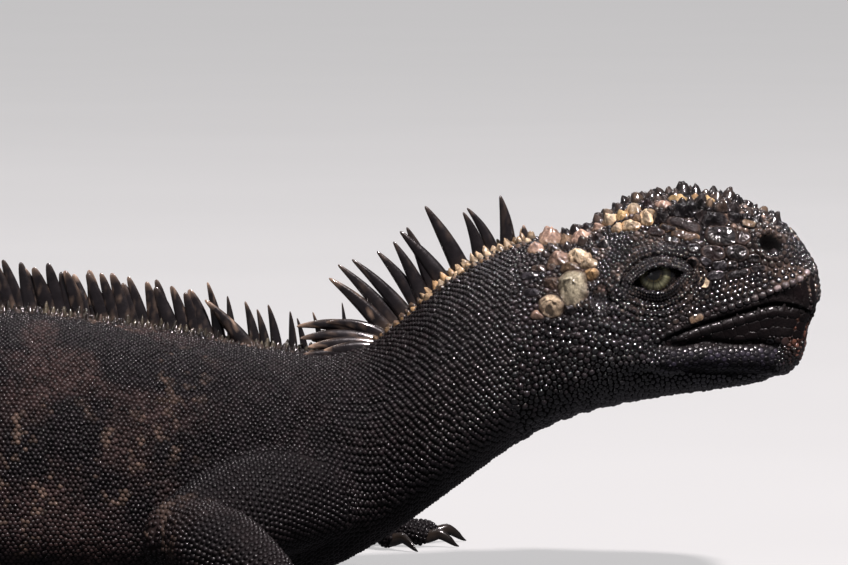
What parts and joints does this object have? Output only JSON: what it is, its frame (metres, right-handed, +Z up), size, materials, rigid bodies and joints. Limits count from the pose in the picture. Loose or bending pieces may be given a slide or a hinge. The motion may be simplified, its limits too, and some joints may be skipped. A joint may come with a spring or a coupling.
{
  "type": "marine iguana",
  "caption": "Life-size still model of an adult marine iguana resting on its belly, head raised, with a spined crest, long claws and a flattened, curving tail.",
  "frame": {"origin": "on the flat of the belly under the middle of the ribs, at the level that the animal rests on", "axes": "+X towards the snout, +Y to the animal's left, +Z up"},
  "size_m": [0.9525, 0.3201, 0.1182],
  "materials": {
    "skin": "wet, glossy, near-black granular scales, with cream and yellow-brown scales on the crown, nape and temple",
    "claw": "smooth dark horn, a little worn at the tips",
    "eye": "wet olive iris with a dark round pupil"
  },
  "bodies": {
    "root": {"head": "skin", "lower_jaw": "skin", "eye_left": "eye", "eye_right": "eye", "neck": "skin", "torso": "skin", "tail_1": "skin", "tail_2": "skin", "tail_3": "skin", "tail_4": "skin", "upper_arm_left": "skin", "forearm_left": "skin", "hand_left": "skin", "thigh_left": "skin", "shin_left": "skin", "foot_left": "skin", "claw_hand_left_1": "claw", "claw_hand_left_2": "claw", "claw_hand_left_3": "claw", "claw_hand_left_4": "claw", "claw_hand_left_5": "claw", "claw_foot_left_1": "claw", "claw_foot_left_2": "claw", "claw_foot_left_3": "claw", "claw_foot_left_4": "claw", "claw_foot_left_5": "claw", "upper_arm_right": "skin", "forearm_right": "skin", "hand_right": "skin", "thigh_right": "skin", "shin_right": "skin", "foot_right": "skin", "claw_hand_right_1": "claw", "claw_hand_right_2": "claw", "claw_hand_right_3": "claw", "claw_hand_right_4": "claw", "claw_hand_right_5": "claw", "claw_foot_right_1": "claw", "claw_foot_right_2": "claw", "claw_foot_right_3": "claw", "claw_foot_right_4": "claw", "claw_foot_right_5": "claw"}
  },
  "joints": []
}
